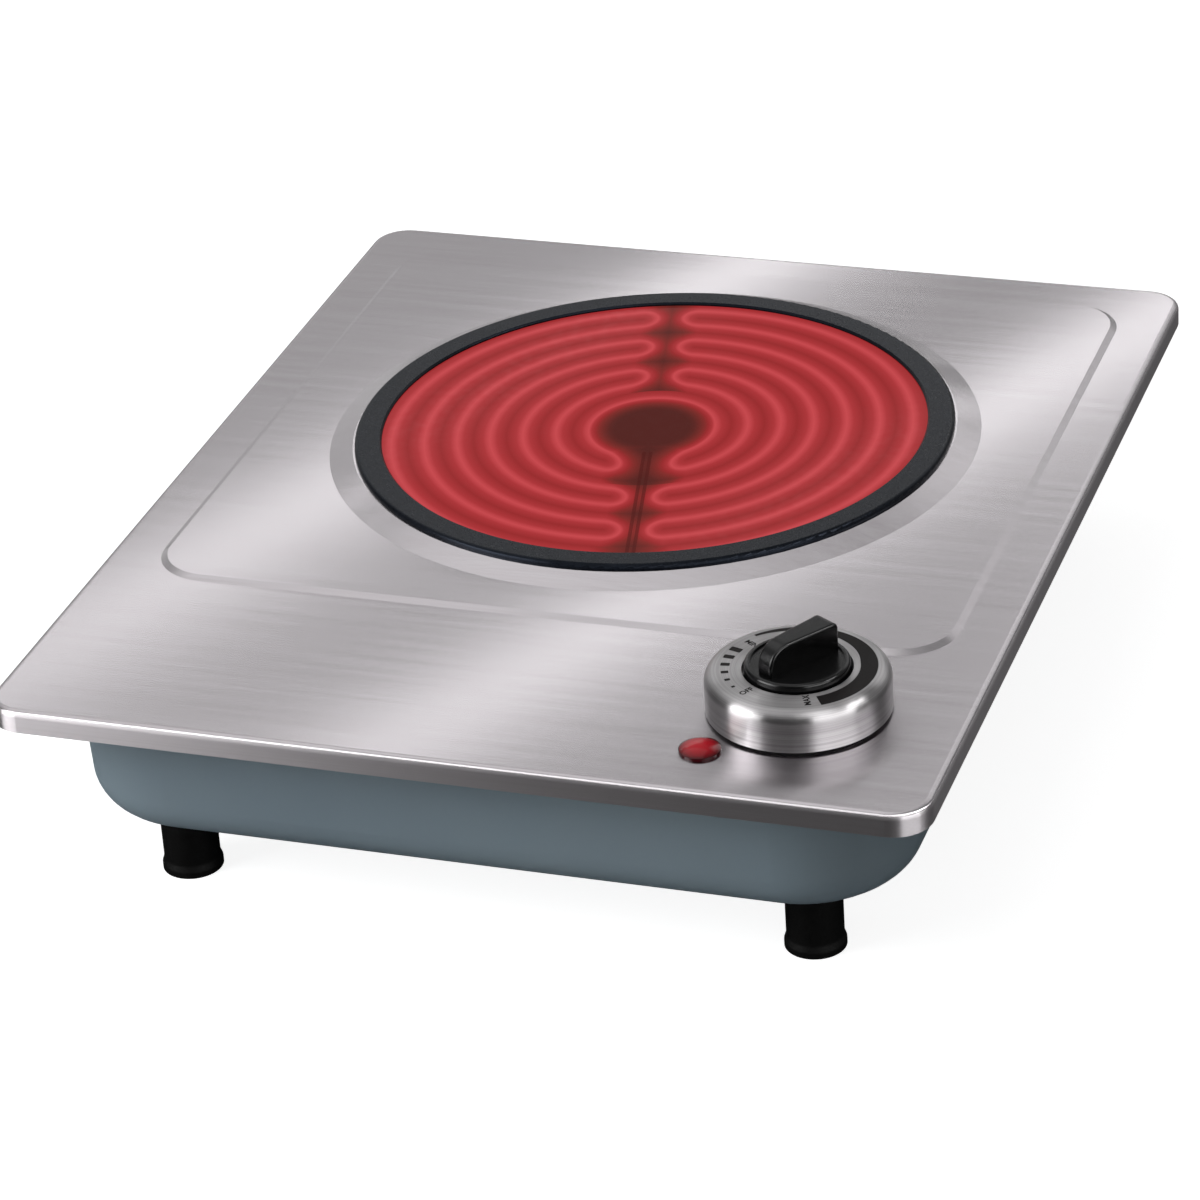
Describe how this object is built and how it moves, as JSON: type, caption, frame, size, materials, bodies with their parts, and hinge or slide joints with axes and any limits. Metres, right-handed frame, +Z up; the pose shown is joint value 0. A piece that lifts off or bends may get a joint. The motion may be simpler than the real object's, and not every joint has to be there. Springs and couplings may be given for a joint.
{
  "type": "hot plate burner",
  "caption": "Portable electric hot plate: brushed steel top with a round glass-ceramic radiant burner, a turning dial and a pilot lamp, over a painted tub on feet.",
  "frame": {"origin": "on the table under the middle of the top plate", "axes": "+Z up, front with the dial towards -Y, dial on the +X side"},
  "size_m": [0.25, 0.3, 0.084],
  "materials": {
    "brushed_stainless": "brushed stainless sheet",
    "brushed_bezel": "turned and brushed metal",
    "tub_enamel": "satin blue-grey paint",
    "ring_black": "satin black",
    "glass_ceramic": "polished red-lit glass-ceramic",
    "seal_black": "black silicone and foam",
    "plain_steel": "bare pressed steel",
    "insulation": "pressed fibre insulation",
    "heater_strip": "glowing resistance strip",
    "limiter_quartz": "ceramic rod",
    "ceramic_white": "steatite",
    "knob_black": "moulded black plastic",
    "zinc_steel": "zinc plated",
    "regulator_grey": "moulded thermoset",
    "brass": "brass",
    "lamp_red": "clear red lens",
    "lamp_white": "moulded plastic",
    "foot_black": "black rubber",
    "wire_brown": "insulated wire",
    "wire_blue": "insulated wire",
    "wire_green": "insulated wire",
    "wire_white": "glass-braid wire"
  },
  "bodies": {
    "housing": {"top_plate": "brushed_stainless", "body_tub": "tub_enamel", "trim_ring": "ring_black", "glass_plate": "glass_ceramic", "glass_seal": "seal_black", "heater_pan": "plain_steel", "insulation_base": "insulation", "insulation_ring": "insulation", "heater_ribbon": "heater_strip", "heater_terminals": "brass", "limiter_rod": "limiter_quartz", "limiter_switch": "ceramic_white", "heater_bridge": "plain_steel", "bow_springs": "plain_steel", "bridge_nuts": "zinc_steel", "dial_bezel": "brushed_bezel", "bezel_gasket": "seal_black", "dial_screws": "zinc_steel", "regulator_frame": "plain_steel", "regulator_body": "regulator_grey", "regulator_blades": "brass", "lamp_lens": "lamp_red", "lamp_body": "lamp_white", "lamp_clip": "plain_steel", "cord_gland": "seal_black", "mains_block": "ceramic_white", "block_screws": "brass", "earth_stud": "zinc_steel", "foot_front_left": "foot_black", "foot_front_right": "foot_black", "foot_back_left": "foot_black", "foot_back_right": "foot_black", "foot_screws": "zinc_steel", "foot_nuts": "zinc_steel", "tie_posts": "plain_steel", "tub_screws": "zinc_steel", "lead_live": "wire_brown", "lead_neutral": "wire_blue", "lead_heater": "wire_white", "lead_earth": "wire_green", "lead_lamp": "wire_white"},
    "knob": {"control_knob": "knob_black", "knob_clip": "plain_steel", "control_spindle": "zinc_steel"}
  },
  "joints": [
    {"name": "knob_turn", "type": "hinge", "parent": "housing", "child": "knob", "pos_m": [0.081, -0.105, 0.07], "axis": [0, 0, -1], "range_deg": [0, 300]}
  ]
}
